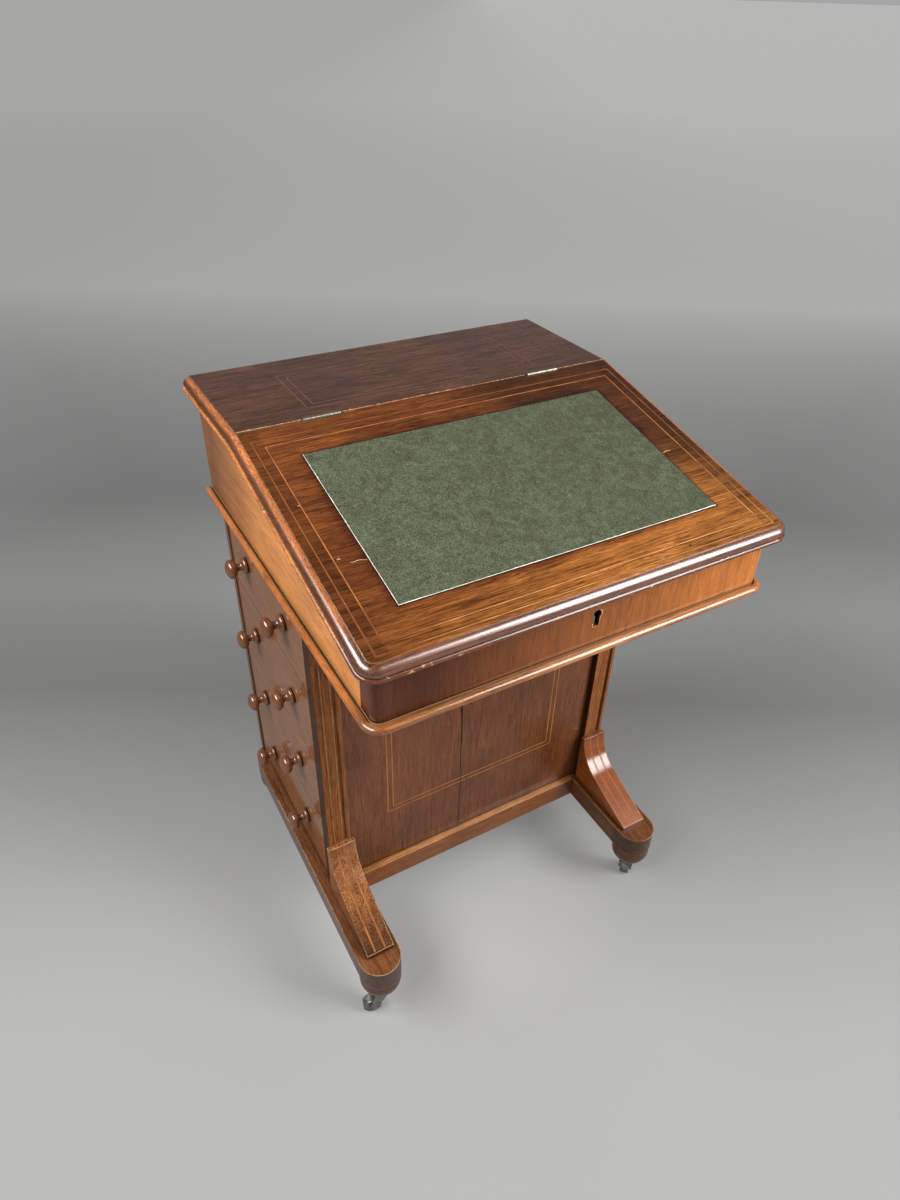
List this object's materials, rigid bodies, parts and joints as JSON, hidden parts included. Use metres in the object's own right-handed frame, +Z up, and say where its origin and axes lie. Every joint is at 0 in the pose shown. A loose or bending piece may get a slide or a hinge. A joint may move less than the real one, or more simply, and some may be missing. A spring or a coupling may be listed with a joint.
{
  "type": "davenport desk",
  "caption": "Davenport writing desk: a sloping leather-lined lid over a box, a pedestal of drawers that open to one side, and sledge feet on castors.",
  "frame": {"origin": "on the floor, under the middle of the bounding box", "axes": "+Z up, -Y towards the sitter, -X the side on which the drawers open"},
  "size_m": [0.558, 0.5528, 0.845],
  "materials": {
    "polished_mahogany": "french polish, glossy",
    "plain_inner_wood": "plain, unpolished",
    "green_leather": "worn, satin",
    "hinge_brass": "tarnished",
    "lock_steel": "dull",
    "castor_iron": "dull",
    "castor_wheel": "worn"
  },
  "bodies": {
    "desk": {"back_panel": "plain_inner_wood", "bottom_rail_back": "plain_inner_wood", "bottom_rail_front": "polished_mahogany", "box_back": "plain_inner_wood", "box_base_moulding": "polished_mahogany", "box_corner_posts": "polished_mahogany", "box_floor": "plain_inner_wood", "box_front_rail": "polished_mahogany", "box_left_side": "polished_mahogany", "box_right_side": "polished_mahogany", "bun_feet": "polished_mahogany", "castor_plates": "castor_iron", "dummy_drawer_fronts": "polished_mahogany", "dummy_knobs": "polished_mahogany", "dust_boards": "plain_inner_wood", "flat_top": "polished_mahogany", "foot_bracket_left": "polished_mahogany", "foot_bracket_right": "polished_mahogany", "front_panel": "polished_mahogany", "hinge_leaves_top": "hinge_brass", "hinge_pins": "hinge_brass", "lock_case": "lock_steel", "pedestal_bottom": "plain_inner_wood", "pilaster_left": "polished_mahogany", "pilaster_right": "polished_mahogany", "rear_post_left": "polished_mahogany", "rear_post_right": "polished_mahogany", "right_side_panel": "plain_inner_wood", "runner_left": "polished_mahogany", "runner_right": "polished_mahogany", "top_rails": "polished_mahogany"},
    "lid": {"lid_board": "polished_mahogany", "lid_leather": "green_leather", "hinge_leaves_lid": "hinge_brass", "lock_staple": "hinge_brass"},
    "lock_bolt": {"lock_bolt": "hinge_brass"},
    "drawer_1": {"drawer_1_front": "polished_mahogany", "drawer_1_walls": "plain_inner_wood", "drawer_1_bottom": "plain_inner_wood", "drawer_1_knobs": "polished_mahogany"},
    "drawer_2": {"drawer_2_front": "polished_mahogany", "drawer_2_walls": "plain_inner_wood", "drawer_2_bottom": "plain_inner_wood", "drawer_2_knobs": "polished_mahogany"},
    "drawer_3": {"drawer_3_front": "polished_mahogany", "drawer_3_walls": "plain_inner_wood", "drawer_3_bottom": "plain_inner_wood", "drawer_3_knobs": "polished_mahogany"},
    "drawer_4": {"drawer_4_front": "polished_mahogany", "drawer_4_walls": "plain_inner_wood", "drawer_4_bottom": "plain_inner_wood", "drawer_4_knobs": "polished_mahogany"},
    "castor_fork_front_left": {"castor_fork_front_left": "castor_iron"},
    "castor_wheel_front_left": {"castor_wheel_front_left": "castor_wheel"},
    "castor_fork_front_right": {"castor_fork_front_right": "castor_iron"},
    "castor_wheel_front_right": {"castor_wheel_front_right": "castor_wheel"},
    "castor_fork_rear_left": {"castor_fork_rear_left": "castor_iron"},
    "castor_wheel_rear_left": {"castor_wheel_rear_left": "castor_wheel"},
    "castor_fork_rear_right": {"castor_fork_rear_right": "castor_iron"},
    "castor_wheel_rear_right": {"castor_wheel_rear_right": "castor_wheel"}
  },
  "joints": [
    {"name": "lid_hinge", "type": "hinge", "parent": "desk", "child": "lid", "pos_m": [0, 0.084, 0.842], "axis": [-1, 0, 0], "range_deg": [0, 105]},
    {"name": "lock_bolt_slide", "type": "slide", "parent": "desk", "child": "lock_bolt", "axis": [1, 0, 0], "range_m": [0, 0.008]},
    {"name": "drawer_1_slide", "type": "slide", "parent": "desk", "child": "drawer_1", "axis": [-1, 0, 0], "range_m": [0, 0.34]},
    {"name": "drawer_2_slide", "type": "slide", "parent": "desk", "child": "drawer_2", "axis": [-1, 0, 0], "range_m": [0, 0.34]},
    {"name": "drawer_3_slide", "type": "slide", "parent": "desk", "child": "drawer_3", "axis": [-1, 0, 0], "range_m": [0, 0.34]},
    {"name": "drawer_4_slide", "type": "slide", "parent": "desk", "child": "drawer_4", "axis": [-1, 0, 0], "range_m": [0, 0.34]},
    {"name": "castor_swivel_front_left", "type": "hinge", "parent": "desk", "child": "castor_fork_front_left", "pos_m": [-0.236, -0.1903, 0.062], "axis": [0, 0, 1], "continuous": true},
    {"name": "castor_roll_front_left", "type": "hinge", "parent": "castor_fork_front_left", "child": "castor_wheel_front_left", "pos_m": [-0.25049, -0.18642, 0.014], "axis": [-0.2588, -0.9659, 0], "continuous": true},
    {"name": "castor_swivel_front_right", "type": "hinge", "parent": "desk", "child": "castor_fork_front_right", "pos_m": [0.236, -0.1903, 0.062], "axis": [0, 0, 1], "continuous": true},
    {"name": "castor_roll_front_right", "type": "hinge", "parent": "castor_fork_front_right", "child": "castor_wheel_front_right", "pos_m": [0.24749, -0.18066, 0.014], "axis": [-0.6428, 0.766, 0], "continuous": true},
    {"name": "castor_swivel_rear_left", "type": "hinge", "parent": "desk", "child": "castor_fork_rear_left", "pos_m": [-0.236, 0.2454, 0.062], "axis": [0, 0, 1], "continuous": true},
    {"name": "castor_roll_rear_left", "type": "hinge", "parent": "castor_fork_rear_left", "child": "castor_wheel_rear_left", "pos_m": [-0.22301, 0.2379, 0.014], "axis": [0.5, 0.866, 0], "continuous": true},
    {"name": "castor_swivel_rear_right", "type": "hinge", "parent": "desk", "child": "castor_fork_rear_right", "pos_m": [0.236, 0.2454, 0.062], "axis": [0, 0, 1], "continuous": true},
    {"name": "castor_roll_rear_right", "type": "hinge", "parent": "castor_fork_rear_right", "child": "castor_wheel_rear_right", "pos_m": [0.23087, 0.23131, 0.014], "axis": [0.9397, -0.342, 0], "continuous": true}
  ]
}
